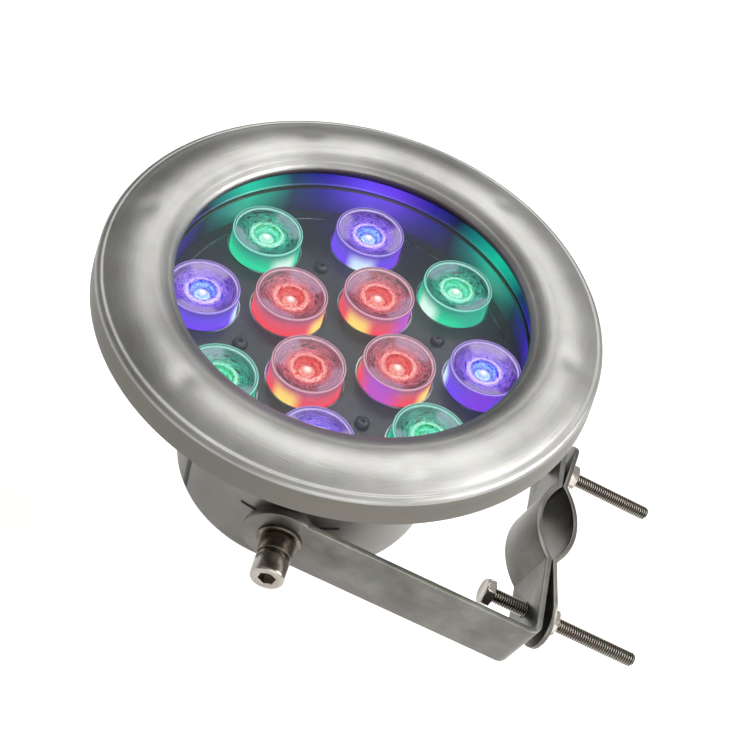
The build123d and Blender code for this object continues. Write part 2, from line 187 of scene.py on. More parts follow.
def finished(name, mesh_maker, surface, body, stands_for=(), crease=35):
    """Turns a bmesh into a shown piece: smooth, creased at its sharp edges, and riding on a body."""
    mesh = bpy.data.meshes.new(name)
    bmesh.ops.remove_doubles(mesh_maker, verts=mesh_maker.verts, dist=1e-7)
    bmesh.ops.recalc_face_normals(mesh_maker, faces=mesh_maker.faces)
    mesh_maker.to_mesh(mesh)
    mesh_maker.free()
    mesh.polygons.foreach_set("use_smooth", [True] * len(mesh.polygons))
    mesh.set_sharp_from_angle(angle=math.radians(crease))
    mesh.materials.append(surface)
    piece = bpy.data.objects.new(name, mesh)
    bpy.context.collection.objects.link(piece)
    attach(piece, body)
    if stands_for:
        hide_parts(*stands_for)
    return piece


def turned(outline, segments=192, place=None, closed=True):
    """A bmesh turned from (radius, height) points in millimetres round the lamp's axis, or another place.

    A third number on a point is the distance across six flats that its ring is trimmed to.
    """
    shape = bmesh.new()
    to_row = lean if place is None else place
    rings = []
    for radius, height, *flats in outline:
        ring = []
        for step in range(1 if radius < 1e-6 else segments):
            angle = 2 * math.pi * step / segments
            reach = radius
            if flats:
                off_flat = (angle + math.pi / 6) % (math.pi / 3) - math.pi / 6
                reach = min(radius, flats[0] / 2 / math.cos(off_flat))
            spot = Vector((reach * math.cos(angle), reach * math.sin(angle), height))
            ring.append(shape.verts.new(to_row @ (spot * MM)))
        rings.append(ring)
    pairs = list(zip(rings, rings[1:] + rings[:1])) if closed else list(zip(rings, rings[1:]))
    for low, high in pairs:
        if len(low) == 1 and len(high) == 1:
            continue
        for i in range(segments):
            j = (i + 1) % segments
            corners = [low[i % len(low)], low[j % len(low)], high[j % len(high)], high[i % len(high)]]
            shape.faces.new(list(dict.fromkeys(corners)))
    return shape


SKIRT_LOW = (92.6, 69.3)
BEAD_FOOT = (91.5, 77.4)
face_outline = [SKIRT_LOW, (92.4, 71.5), (92.0, 75.0), BEAD_FOOT]
face_outline += arc(BEAD_FOOT, (91.2, 79.4), (89.6, 80.3), 10)
face_outline += arc((89.6, 80.3), (89.1, 80.2), (88.6, 80.3), 4)
face_outline += arc((88.6, 80.3), (80.5, 83.3), (72.5, 82.9), 22)
face_outline += arc((72.5, 82.9), (69.3, 82.0), (66.9, 80.3), 8)
face_outline += arc((66.9, 80.3), (65.4, 79.3), (64.7, 77.9), 7)
face_outline += [(64.6, 77.2), (65.6, 75.4), (66.2, 74.7), (74.0, 74.7), (74.0, 75.9), (67.2, 75.9)]
face_outline += arc((66.2, 77.2), (66.7, 78.4), (68.0, 79.5), 5)
face_outline += arc((72.0, 81.5), (80.5, 82.0), (88.0, 79.2), 12)
face_outline += [(89.6, 78.6), (90.3, 77.4), (91.2, 72.0), (91.4, SKIRT_LOW[1])]
shape = turned(face_outline, 288)

STUD_CIRCLE = 80.0
STUD_COUNT = 6
FIRST_STUD = math.radians(-4.0)
STUD_ANGLES = [FIRST_STUD + 2 * math.pi * i / STUD_COUNT for i in range(STUD_COUNT)]
SINK_DEPTH = 0.60
SINK_WIDTH = 4.2
FACE_LOW = 79.0
WAVINESS = 0.10
WAVE_PER_MM = 0.035
to_head = lean.inverted()
for vertex in shape.verts:
    spot = to_head @ vertex.co / MM
    if spot.z > FACE_LOW:
        for angle in STUD_ANGLES:
            away = (spot.xy - Vector((math.cos(angle), math.sin(angle))) * STUD_CIRCLE).length
            spot.z -= SINK_DEPTH * math.exp(-(away / SINK_WIDTH) ** 2)
    spot.z += WAVINESS * noise.noise(spot * WAVE_PER_MM)
    vertex.co = lean @ (spot * MM)

# A satin grey that catches broad soft highlights, with fine lines round the axis and a darker skirt, which is
# painted shade.
bezel_steel, tree, shader = material("spun stainless steel")
# Fine turning lines round the axis; drawn 0.6 mm apart, because real grit lines of 0.1 mm would not show.
LINE_PITCH = 0.6 * MM
SKIRT_TOP = 78.5 * MM


def round_axis(tree):
    """Radius and turn about the lamp's axis, and height along it, from object coordinates."""
    coordinates = add(tree, "ShaderNodeTexCoord")
    upright = add(tree, "ShaderNodeMapping", {"vector_type": "TEXTURE", "Location": pivot,
                                              "Rotation": (0, lean_angle, 0)},
                  {"Vector": coordinates.outputs["Object"]})
    parts = add(tree, "ShaderNodeSeparateXYZ", links={0: upright.outputs[0]})
    flat = add(tree, "ShaderNodeCombineXYZ", links={"X": parts.outputs["X"], "Y": parts.outputs["Y"]})
    radius = add(tree, "ShaderNodeVectorMath", {"operation": "LENGTH"}, {0: flat.outputs[0]})
    turn = add(tree, "ShaderNodeMath", {"operation": "ARCTAN2"},
               {0: parts.outputs["Y"], 1: parts.outputs["X"]})
    return upright.outputs[0], radius.outputs["Value"], turn.outputs[0], parts.outputs["Z"]


def spun_finish(tree, shader, colours, roughness, line_pitch, bump=0.05, painted_shade_below=None):
    """Turning lines, patchy polish and slight stain for sheet steel that was spun on a lathe."""
    upright, radius, turn, height = round_axis(tree)
    across_lines = add(tree, "ShaderNodeMath", {"operation": "DIVIDE", 1: line_pitch}, {0: radius})
    up_lines = add(tree, "ShaderNodeMath", {"operation": "DIVIDE", 1: line_pitch}, {0: height})
    along = add(tree, "ShaderNodeMath", {"operation": "MULTIPLY", 1: 9.0}, {0: turn})
    line_place = add(tree, "ShaderNodeCombineXYZ",
                     links={"X": across_lines.outputs[0], "Y": along.outputs[0], "Z": up_lines.outputs[0]})
    lines = add(tree, "ShaderNodeTexNoise", {"Scale": 1.0, "Detail": 3.0, "Roughness": 0.6},
                {"Vector": line_place.outputs[0]})
    patches = add(tree, "ShaderNodeTexNoise", {"Scale": 28.0, "Detail": 4.0}, {"Vector": upright})
    grain = add(tree, "ShaderNodeTexNoise", {"Scale": 1400.0, "Detail": 2.0}, {"Vector": upright})
    stain = add(tree, "ShaderNodeValToRGB", links={0: patches.outputs["Fac"]})
    stain.color_ramp.elements[0].position = 0.30
    stain.color_ramp.elements[1].position = 0.70
    stain.color_ramp.elements[0].color = linear(colours[0])
    stain.color_ramp.elements[1].color = linear(colours[1])
    toned = add(tree, "ShaderNodeMix", {"data_type": "RGBA", "blend_type": "MULTIPLY", 0: 0.22},
                {6: stain.outputs[0], 7: lines.outputs["Color"]})
    # Below the given height the colour turns dark grey: painted shade on the bezel's skirt.
    if painted_shade_below:
        above = add(tree, "ShaderNodeMapRange", {"From Min": painted_shade_below - 0.0006, "From Max": painted_shade_below,
                                                 "To Min": 0.0, "To Max": 1.0}, {"Value": height})
        toned = add(tree, "ShaderNodeMix", {"data_type": "RGBA", 6: linear("#6A6761")},
                    {0: above.outputs[0], 7: toned.outputs[2]})
    tree.links.new(toned.outputs[2], shader.inputs["Base Color"])
    gloss = add(tree, "ShaderNodeMapRange", {"To Min": roughness[0], "To Max": roughness[1]},
                {"Value": lines.outputs["Fac"]})
    blotch = add(tree, "ShaderNodeMath", {"operation": "MULTIPLY_ADD", 1: 0.10},
                 {0: patches.outputs["Fac"], 2: gloss.outputs[0]})
    tree.links.new(blotch.outputs[0], shader.inputs["Roughness"])
    mixed = add(tree, "ShaderNodeMix", {0: 0.35}, {2: lines.outputs["Fac"], 3: grain.outputs["Fac"]})
    relief = add(tree, "ShaderNodeBump", {"Strength": bump, "Distance": 0.0004}, {"Height": mixed.outputs[0]})
    tree.links.new(relief.outputs[0], shader.inputs["Normal"])
    shader.inputs["Metallic"].default_value = 1.0


spun_finish(tree, shader, ("#93928F", "#B6B5B2"), (0.34, 0.44), LINE_PITCH, 0.20, painted_shade_below=SKIRT_TOP)
finished("spun_bezel", shape, bezel_steel, "head", ["bezel"])

# ---------------------------------------------------------------- front glass
# A disc of 5 mm tempered glass with a ground edge, held by the bezel's lip between two rubber rings.
# Mostly clear: only a thin gloss and a trace of green at the edge.
glass_outline = [(0, 68.2), (74.2, 68.2), (75.0, 69.0), (75.0, 72.4), (74.2, 73.2), (0, 73.2)]
tempered, tree, shader = material("tempered glass")
shader.inputs["Base Color"].default_value = linear("#E6F2EF")
shader.inputs["Roughness"].default_value = 0.02
shader.inputs["Alpha"].default_value = 0.02
shader.inputs["Specular IOR Level"].default_value = 0.16
finished("front_glass_disc", turned(glass_outline, 192, closed=False), tempered, "head",
         ["front_glass"])

# Dead black with a bloom of dust, seen only as a thin ring beside the glass.
silicone, tree, shader = material("black silicone rubber")
coordinates = add(tree, "ShaderNodeTexCoord")
dust = add(tree, "ShaderNodeTexNoise", {"Scale": 350.0, "Detail": 4.0},
           {"Vector": coordinates.outputs["Object"]})
tone = add(tree, "ShaderNodeMix", {"data_type": "RGBA", 6: linear("#121212"), 7: linear("#2A2A2A")},
           {0: dust.outputs["Fac"]})
tree.links.new(tone.outputs[2], shader.inputs["Base Color"])
shader.inputs["Roughness"].default_value = 0.65
nodes["gland_seal"].material_slots[0].material = silicone
for name, inner, low, high in (("front_gasket", 68.4, 73.2, 74.7), ("rear_gasket", 73.6, 66.2, 68.2)):
    ring_outline = [(inner, low), (inner - 0.3, (low + high) / 2), (inner, high), (75.0, high), (75.0, low)]
    finished(name + "_ring", turned(ring_outline, 160), silicone, "head", [name])

# The rear ring's black lip wraps the edge of the glass, so no light gets out behind the bezel.
lip_wall = [(75.7, 66.2), (75.7, 74.7), (76.4, 74.7), (76.4, 66.2)]
finished("gasket_lip_round_glass", turned(lip_wall, 160), silicone, "head")

# ---------------------------------------------------------------- pan and rear cup
# Two drawn shells of 1.2 mm stainless, the wide pan with the bolting flange and the cup welded below it.
# The cup was rolled from flat sheet, so one dressed weld seam runs down its side.
pan_outline = [(87.0, 65.0), (87.0, 66.2), (67.8, 66.2), (67.8, 65.0), (70.8, 65.0), (70.8, 43.2),
               (46.0, 43.2), (46.0, 42.0)]
pan_outline += [(70.6, 42.0)] + arc((70.6, 42.0), (71.6, 42.4), (72.0, 43.4), 5) + [(72.0, 65.0)]
# Plain mill finish, duller than the bezel, with faint drawing marks round the axis; its darker grey is partly the
# finish and partly painted shade, as the shells lie in shadow.
shaded_shell_steel, tree, shader = material("drawn stainless steel with painted shade")
spun_finish(tree, shader, ("#686661", "#83817B"), (0.30, 0.42), 0.9 * MM, 0.05)
finished("pan_shell", turned(pan_outline, 224), shaded_shell_steel, "head", ["lamp_pan"])

cup_outline = [(52.0, 42.0), (52.0, -19.0)] + arc((52.0, -19.0), (50.8, -21.8), (48.0, -23.0), 8)
cup_outline += [(8.0, -23.0), (8.0, -21.8), (48.0, -21.8)]
cup_outline += arc((48.0, -21.8), (50.0, -21.0), (50.8, -19.0), 6) + [(50.8, 42.0)]
finished("cup_shell", turned(cup_outline, 224), shaded_shell_steel, "head", ["rear_cup"])

SEAM_ANGLE = math.radians(37)
SEAM_HALF_WIDTH = 2.0
SEAM_LOW, SEAM_LENGTH = -18.5, 60.3
SEAM_STEPS = 24
CUP_RADIUS = 52.0
seam = bmesh.new()
strip = []
for step in range(SEAM_STEPS + 1):
    height = SEAM_LOW + SEAM_LENGTH * step / SEAM_STEPS
    row = []
    for side in range(-3, 4):
        angle = SEAM_ANGLE + side / 3 * SEAM_HALF_WIDTH / CUP_RADIUS
        proud = 0.22 * (1 - (side / 3) ** 2) + 0.03 * noise.noise((side * 0.7, step * 0.9, 0.0)) - 0.02
        radius = (CUP_RADIUS + proud) * MM
        row.append(seam.verts.new(lean @ Vector((radius * math.cos(angle), radius * math.sin(angle),
                                                 height * MM))))
    strip.append(row)
for low, high in zip(strip, strip[1:]):
    for i in range(6):
        seam.faces.new((low[i], low[i + 1], high[i + 1], high[i]))
# Ground back after welding, so it reads as a dull darker stripe.
weld_steel, tree, shader = material("dressed weld")
spun_finish(tree, shader, ("#2E2B27", "#46423C"), (0.35, 0.5), 0.9 * MM, 0.1)
finished("cup_weld_seam", seam, weld_steel, "head")

# Beside each pivot two short slots were punched in the cup; the shade in their mouths is painted near black on
# thin strips laid on the cup.
SLOT_HEIGHT, SLOT_HALF = 5.8, 0.75
SLOT_STEPS = 24
MOUTH_RADIUS = CUP_RADIUS + 0.07
slots = bmesh.new()
for first, last in ((70, 79), (104.5, 113), (250, 259), (284.5, 293)):
    rows = []
    for step in range(SLOT_STEPS + 1):
        share = step / SLOT_STEPS
        angle = math.radians(first + (last - first) * share)
        from_end = min(share, 1 - share) * math.radians(last - first) * CUP_RADIUS
        half = SLOT_HALF * math.sqrt(max(0.0, 1 - max(0.0, 1 - from_end / SLOT_HALF) ** 2)) + 0.01
        row = []
        for side in (-1, 1):
            spot = Vector((MOUTH_RADIUS * math.cos(angle), MOUTH_RADIUS * math.sin(angle),
                           SLOT_HEIGHT + half * side))
            row.append(slots.verts.new(lean @ (spot * MM)))
        rows.append(row)
    for low, high in zip(rows, rows[1:]):
        slots.faces.new((low[0], high[0], high[1], low[1]))
shadow, tree, shader = material("painted shade in a punched slot")
# Near-black painted shade, mottled a little.
coordinates = add(tree, "ShaderNodeTexCoord")
shade_mottle = add(tree, "ShaderNodeTexNoise", {"Scale": 600.0}, {"Vector": coordinates.outputs["Object"]})
tone = add(tree, "ShaderNodeMix", {"data_type": "RGBA", 6: linear("#080706"), 7: linear("#1C1815")},
           {0: shade_mottle.outputs["Fac"]})
tree.links.new(tone.outputs[2], shader.inputs["Base Color"])
shader.inputs["Roughness"].default_value = 0.9
finished("cup_slot_mouths", slots, shadow, "head")

# ---------------------------------------------------------------- lit interior
# The LED board, a slate-grey cover plate with a hole for each optic, and the pan's bright inner wall.
# The wall's reflection of each outer optic's colour is painted on it as a glow, green and violet by turns, and a
# faint glow on the plate.
INNER_RING, OUTER_RING = 24.0, 53.6
ARRAY_ANGLE = math.radians(-43.0)
PLATE_TOP = 51.0


def glow_by_turn(tree, turn, stops):
    """Colour round the lamp's axis that repeats every quarter turn, starting at a green optic."""
    shifted = add(tree, "ShaderNodeMath", {"operation": "SUBTRACT", 1: ARRAY_ANGLE}, {0: turn})
    quarter = add(tree, "ShaderNodeMath", {"operation": "DIVIDE", 1: math.pi / 2}, {0: shifted.outputs[0]})
    part = add(tree, "ShaderNodeMath", {"operation": "FLOORED_MODULO", 1: 1.0}, {0: quarter.outputs[0]})
    return ramp_of(tree, part.outputs[0], stops)


def ramp_of(tree, value, stops):
    """A colour ramp with the given (position, colour) stops."""
    ramp = add(tree, "ShaderNodeValToRGB", links={0: value})
    ramp.color_ramp.elements.remove(ramp.color_ramp.elements[1])
    ramp.color_ramp.elements[0].position = stops[0][0]
    ramp.color_ramp.elements[0].color = linear(stops[0][1])
    for position, colour in stops[1:]:
        ramp.color_ramp.elements.new(position).color = linear(colour)
    return ramp.outputs[0]


# Steel with a painted reflection of the nearest outer optic, drawn as emission: green, dark blue and violet by
# turns, brighter near the glass.
liner_steel, tree, shader = material("polished steel wall with painted LED reflections")
upright, radius, turn, height = round_axis(tree)
glow = glow_by_turn(tree, turn, ((0.0, "#10C8A4"), (0.10, "#0E8C86"), (0.20, "#14204A"), (0.30, "#2A1E9A"),
                                 (0.45, "#6A3CF0"), (0.55, "#6440F0"), (0.70, "#2C20A8"), (0.82, "#0E3C60"),
                                 (0.92, "#0FA890"), (1.0, "#10C8A4")))
rise = add(tree, "ShaderNodeMapRange", {"From Min": 0.051, "From Max": 0.066, "To Min": 0.25, "To Max": 1.0},
           {"Value": height})
cloud = add(tree, "ShaderNodeTexNoise", {"Scale": 45.0, "Detail": 2.0}, {"Vector": upright})
soft = add(tree, "ShaderNodeMapRange", {"To Min": 0.5, "To Max": 1.4}, {"Value": cloud.outputs["Fac"]})
level = add(tree, "ShaderNodeMath", {"operation": "MULTIPLY"}, {0: rise.outputs[0], 1: soft.outputs[0]})
tree.links.new(glow, shader.inputs["Emission Color"])
tree.links.new(level.outputs[0], shader.inputs["Emission Strength"])
shader.inputs["Base Color"].default_value = linear("#3A3A42")
shader.inputs["Metallic"].default_value = 0.8
shader.inputs["Roughness"].default_value = 0.35
liner_outline = [(70.3, 51.2), (69.3, 66.4), (73.2, 68.0), (73.0, 68.15), (68.9, 66.9), (68.6, 66.4),
                 (69.8, 51.2)]
finished("pan_inner_wall", turned(liner_outline, 160), liner_steel, "head")
# The glass's ground edge is closed in by a band that carries the same painted reflection.
band_outline = [(75.1, 66.4), (75.1, 74.6), (75.6, 74.6), (75.6, 66.4)]
finished("glass_edge_band", turned(band_outline, 160), liner_steel, "head")

# A dark slate grey with a faint painted glow of green or violet near the rim, standing for the LEDs' light falling
# on it.
plate_paint, tree, shader = material("slate anodised plate")
upright, radius, turn, height = round_axis(tree)
painted_led_glow = glow_by_turn(tree, turn, ((0.0, "#1E5A58"), (0.25, "#2A3048"), (0.5, "#4036A0"), (0.75, "#2A3048"),
                                 (1.0, "#1E5A58")))
outward = add(tree, "ShaderNodeMapRange",
              {"From Min": 0.020, "From Max": 0.070, "To Min": 0.02, "To Max": 0.42}, {"Value": radius})
cloud = add(tree, "ShaderNodeTexNoise", {"Scale": 38.0, "Detail": 3.0}, {"Vector": upright})
patchy = add(tree, "ShaderNodeMath", {"operation": "MULTIPLY"},
             {0: outward.outputs[0], 1: cloud.outputs["Fac"]})
tree.links.new(painted_led_glow, shader.inputs["Emission Color"])
tree.links.new(patchy.outputs[0], shader.inputs["Emission Strength"])
tone = add(tree, "ShaderNodeMix", {"data_type": "RGBA", 6: linear("#1D1F27"), 7: linear("#2C2F39")},
           {0: cloud.outputs["Fac"]})
tree.links.new(tone.outputs[2], shader.inputs["Base Color"])
shader.inputs["Roughness"].default_value = 0.30
shader.inputs["Specular IOR Level"].default_value = 0.3
nodes["optics_plate"].material_slots[0].material = plate_paint

# A bright hairline on the plate: the turned step near its rim and the lip of each optic's hole.
hairline, tree, shader = material("bare edge of the plate")
coordinates = add(tree, "ShaderNodeTexCoord")
broken = add(tree, "ShaderNodeTexNoise", {"Scale": 90.0, "Detail": 2.0},
             {"Vector": coordinates.outputs["Object"]})
tree.links.new(ramp_of(tree, broken.outputs["Fac"], ((0.35, "#30343C"), (0.62, "#9AA0AA"))),
               shader.inputs["Base Color"])
shader.inputs["Metallic"].default_value = 0.9
shader.inputs["Roughness"].default_value = 0.3
rim_outline = [(65.2, PLATE_TOP), (65.35, PLATE_TOP + 0.25), (65.8, PLATE_TOP + 0.25), (65.95, PLATE_TOP)]
finished("plate_rim_line", turned(rim_outline, 160), hairline, "head")


def ring_nodes():
    """A Geometry Nodes tree: copies of a piece evenly round a circle, each turned to face outwards."""
    group = bpy.data.node_groups.new("ring of like pieces", "GeometryNodeTree")
    face = group.interface
    for name, kind in (("Piece", "Object"), ("Count", "Int"), ("Radius", "Float"), ("First turn", "Float"),
                       ("Finish", "Material")):
        face.new_socket(name, in_out="INPUT", socket_type="NodeSocket" + kind)
    face.new_socket("Geometry", in_out="OUTPUT", socket_type="NodeSocketGeometry")
    given = add(group, "NodeGroupInput")
    line = add(group, "GeometryNodeMeshLine", links={"Count": given.outputs["Count"]})
    number = add(group, "GeometryNodeInputIndex")
    share = add(group, "ShaderNodeMath", {"operation": "DIVIDE"},
                {0: number.outputs[0], 1: given.outputs["Count"]})
    angle = add(group, "ShaderNodeMath", {"operation": "MULTIPLY_ADD", 1: 2 * math.pi},
                {0: share.outputs[0], 2: given.outputs["First turn"]})
    turned_by = add(group, "ShaderNodeCombineXYZ", links={"Z": angle.outputs[0]})
    reach = add(group, "ShaderNodeCombineXYZ", links={"X": given.outputs["Radius"]})
    spot = add(group, "ShaderNodeVectorRotate", {"rotation_type": "EULER_XYZ"},
               {"Vector": reach.outputs[0], "Rotation": turned_by.outputs[0]})
    placed = add(group, "GeometryNodeSetPosition",
                 links={"Geometry": line.outputs[0], "Position": spot.outputs[0]})
    piece = add(group, "GeometryNodeObjectInfo", links={"Object": given.outputs["Piece"]})
    copies = add(group, "GeometryNodeInstanceOnPoints",
                 links={"Points": placed.outputs[0], "Instance": piece.outputs["Geometry"],
                        "Rotation": turned_by.outputs[0]})
    real = add(group, "GeometryNodeRealizeInstances", links={"Geometry": copies.outputs[0]})
    coated = add(group, "GeometryNodeSetMaterial",
                 links={"Geometry": real.outputs[0], "Material": given.outputs["Finish"]})
    add(group, "NodeGroupOutput", links={0: coated.outputs[0]})
    return group


ring_group = ring_nodes()
upright_place = Matrix.Identity(4)


def ring_of(name, shape, count, radius, first_turn, surface, stands_for=(), crease=35):
    """Copies a bmesh, drawn upright on the axis, round the lamp's axis, and leans the result over."""
    seed_mesh = bpy.data.meshes.new(name + "_one")
    bmesh.ops.recalc_face_normals(shape, faces=shape.faces)
    shape.to_mesh(seed_mesh)
    shape.free()
    seed_mesh.polygons.foreach_set("use_smooth", [True] * len(seed_mesh.polygons))
    seed_mesh.set_sharp_from_angle(angle=math.radians(crease))
    seed = bpy.data.objects.new(name + "_one", seed_mesh)
    holder = bpy.data.objects.new(name + "_ring", bpy.data.meshes.new(name + "_ring"))
    for item in (seed, holder):
        bpy.context.collection.objects.link(item)
    rule = holder.modifiers.new("ring", "NODES")
    rule.node_group = ring_group
    wanted = {"Piece": seed, "Count": count, "Radius": radius * MM, "First turn": first_turn,
              "Finish": surface}
    for socket in ring_group.interface.items_tree:
        if socket.in_out == "INPUT":
            rule[socket.identifier] = wanted[socket.name]
    bpy.context.view_layer.update()
    evaluated = holder.evaluated_get(bpy.context.evaluated_depsgraph_get())
    mesh = bpy.data.meshes.new_from_object(evaluated)
    mesh.transform(lean)
    for item in (holder, seed):
        bpy.data.objects.remove(item)
    piece = bpy.data.objects.new(name, mesh)
    bpy.context.collection.objects.link(piece)
    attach(piece, "head")
    if stands_for:
        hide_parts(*stands_for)
    return piece


lip_outline = [(14.05, PLATE_TOP), (14.2, PLATE_TOP + 0.22), (14.55, PLATE_TOP + 0.22), (14.7, PLATE_TOP)]
for name, count, ring, first in (("outer_hole_lips", 8, OUTER_RING, ARRAY_ANGLE),
                                 ("inner_hole_lips", 4, INNER_RING, ARRAY_ANGLE + math.pi / 8)):
    ring_of(name, turned(lip_outline, 64, upright_place), count, ring, first, hairline)

# ---------------------------------------------------------------- optics
# Twelve clear acrylic collimators of 27 mm: four red in the middle, then green and blue in turn round them.
# Each is a moulded cup with a thin rim, a dished top and a lens at its heart, glued over its LED.
# Lit from below, the acrylic itself shines, so its colours and sparkle are drawn as light in the surface.
optic_outline = [(0, 50.2), (4.0, 50.2), (4.2, 47.2), (13.2, 47.2), (13.5, 47.6), (13.5, 59.5),
                 (13.4, 59.9), (13.1, 60.0), (12.7, 59.9), (12.5, 59.5), (12.3, 58.9), (9.0, 57.9),
                 (6.4, 57.3), (5.7, 57.9), (5.0, 58.0), (4.5, 57.4), (4.2, 55.4), (2.8, 55.0),
                 (2.2, 55.8), (1.2, 56.7), (0, 57.0)]
OPTIC_SEGMENTS = 64


def optic_shape():
    """One optic upright on the axis, with a UV map: u is its turn, v runs from foot over rim to heart."""
    shape = turned(optic_outline, OPTIC_SEGMENTS, upright_place, closed=False)
    bmesh.ops.recalc_face_normals(shape, faces=shape.faces)
    wrap = shape.loops.layers.uv.new("round")
    run = [0.0]
    for (r0, h0), (r1, h1) in zip(optic_outline, optic_outline[1:]):
        run.append(run[-1] + math.hypot(r1 - r0, h1 - h0))
    along = {(round(r, 2), round(h, 2)): s / run[-1] for (r, h), s in zip(optic_outline, run)}
    for face in shape.faces:
        middle = face.calc_center_median()
        middle_turn = math.atan2(middle.y, middle.x) / (2 * math.pi) % 1.0
        for loop in face.loops:
            spot = loop.vert.co / MM
            radius = math.hypot(spot.x, spot.y)
            u = math.atan2(spot.y, spot.x) / (2 * math.pi) % 1.0 if radius > 1e-3 else middle_turn
            u += round(middle_turn - u)
            loop[wrap].uv = (u, along[(round(radius, 2), round(spot.z, 2))])
    return shape


def lit_acrylic(name, walls, hot, core, painted_led_glow, reflected_window_colour):
    """Clear acrylic lit from below: colours from foot to rim and heart, a hot spot and broken arcs."""
    made, tree, shader = material(name)
    wrap = add(tree, "ShaderNodeUVMap", {"uv_map": "round"})
    parts = add(tree, "ShaderNodeSeparateXYZ", links={0: wrap.outputs[0]})
    base = ramp_of(tree, parts.outputs["Y"], walls)
    # Broken arcs: a noise stretched round the optic, strong in the dish and faint on the wall.
    arcs_place = add(tree, "ShaderNodeMapping", {"Scale": (9.0, 30.0, 1.0)}, {"Vector": wrap.outputs[0]})
    arcs = add(tree, "ShaderNodeTexNoise", {"Scale": 1.0, "Detail": 1.6, "Distortion": 2.2},
               {"Vector": arcs_place.outputs[0]})
    sparkle = ramp_of(tree, arcs.outputs["Fac"], ((0.36, "#141414"), (0.44, "#6A6A6A"), (0.475, "#F0F0F0"),
                                                 (0.505, "#707070"), (0.57, "#909090"), (0.60, "#FFFFFF"),
                                                 (0.64, "#A0A0A0")))
    in_dish = add(tree, "ShaderNodeMapRange", {"From Min": 0.64, "From Max": 0.70, "To Min": 0.12,
                                               "To Max": 1.0}, {"Value": parts.outputs["Y"]})
    broken = add(tree, "ShaderNodeMix", {"data_type": "RGBA", "blend_type": "OVERLAY"},
                 {0: in_dish.outputs[0], 6: base, 7: sparkle})
    # Two broad pale windows lie in the dish: a painted reflection of the lit wall round it in the clear top.
    window_turn = add(tree, "ShaderNodeMath", {"operation": "PINGPONG", 1: 0.25}, {0: parts.outputs["X"]})
    window_side = add(tree, "ShaderNodeMapRange", {"interpolation_type": "SMOOTHSTEP", "From Min": 0.125,
                                                   "From Max": 0.165}, {"Value": window_turn.outputs[0]})
    window_band = ramp_of(tree, parts.outputs["Y"], ((0.655, "#000000"), (0.675, "#FFFFFF"),
                                                    (0.755, "#B0B0B0"), (0.775, "#000000")))
    window = add(tree, "ShaderNodeMath", {"operation": "MULTIPLY"},
                 {0: window_side.outputs[0], 1: window_band})
    window_part = add(tree, "ShaderNodeMath", {"operation": "MULTIPLY", 1: 0.38}, {0: window.outputs[0]})
    broken = add(tree, "ShaderNodeMix", {"data_type": "RGBA", 7: linear(reflected_window_colour)},
                 {0: window_part.outputs[0], 6: broken.outputs[2]})
    # The wall has its brightest patches low down, where it faces the middle of the lamp and away from it.
    centred = add(tree, "ShaderNodeMath", {"operation": "SUBTRACT", 1: 0.5}, {0: parts.outputs["X"]})
    off = add(tree, "ShaderNodeMath", {"operation": "ABSOLUTE"}, {0: centred.outputs[0]})
    facing_in = add(tree, "ShaderNodeMath", {"operation": "PINGPONG", 1: 0.25}, {0: off.outputs[0]})
    swing = add(tree, "ShaderNodeMapRange", {"From Max": 0.25, "To Min": 0.25, "To Max": 0.0},
                {"Value": facing_in.outputs[0]})
    near = add(tree, "ShaderNodeMapRange", {"interpolation_type": "SMOOTHSTEP", "From Min": 0.165,
                                            "From Max": 0.225}, {"Value": swing.outputs[0]})
    low = ramp_of(tree, parts.outputs["Y"], ((0.365, "#000000"), (0.40, "#FFFFFF"), (0.50, "#F0F0F0"),
                                             (0.60, "#000000")))
    patch = add(tree, "ShaderNodeMath", {"operation": "MULTIPLY"}, {0: near.outputs[0], 1: low})
    heated = add(tree, "ShaderNodeMix", {"data_type": "RGBA", 7: linear(hot)},
                 {0: patch.outputs[0], 6: broken.outputs[2]})
    # On one flank a neighbour's light is painted in, showing through the wall.
    from_flank = add(tree, "ShaderNodeMath", {"operation": "SUBTRACT", 1: 0.75}, {0: parts.outputs["X"]})
    flank_place = add(tree, "ShaderNodeMath", {"operation": "WRAP", 1: 0.5, 2: -0.5},
                      {0: from_flank.outputs[0]})
    flank_off = add(tree, "ShaderNodeMath", {"operation": "ABSOLUTE"}, {0: flank_place.outputs[0]})
    flank = add(tree, "ShaderNodeMapRange",
                {"interpolation_type": "SMOOTHSTEP", "From Min": 0.13, "From Max": 0.02, "To Max": 0.8},
                {"Value": flank_off.outputs[0]})
    walls_only = add(tree, "ShaderNodeMath", {"operation": "LESS_THAN", 1: 0.62}, {0: parts.outputs["Y"]})
    side = add(tree, "ShaderNodeMath", {"operation": "MULTIPLY"},
               {0: flank.outputs[0], 1: walls_only.outputs[0]})
    tinted = add(tree, "ShaderNodeMix", {"data_type": "RGBA", 7: linear(painted_led_glow)},
                 {0: side.outputs[0], 6: heated.outputs[2]})
    # The very heart is white-hot.
    heart = add(tree, "ShaderNodeMapRange", {"interpolation_type": "SMOOTHSTEP", "From Min": 0.935,
                                             "From Max": 0.995}, {"Value": parts.outputs["Y"]})
    shining = add(tree, "ShaderNodeMix", {"data_type": "RGBA", 7: linear(core)},
                  {0: heart.outputs[0], 6: tinted.outputs[2]})
    tree.links.new(shining.outputs[2], shader.inputs["Emission Color"])
    shader.inputs["Emission Strength"].default_value = 1.0
    shader.inputs["Base Color"].default_value = linear("#08080A")
    shader.inputs["Roughness"].default_value = 0.05
    shader.inputs["IOR"].default_value = 1.49
    shader.inputs["Specular IOR Level"].default_value = 0.32
    ripple = add(tree, "ShaderNodeBump", {"Strength": 0.25, "Distance": 0.0006},
                 {"Height": arcs.outputs["Fac"]})
    tree.links.new(ripple.outputs[0], shader.inputs["Normal"])
    return made


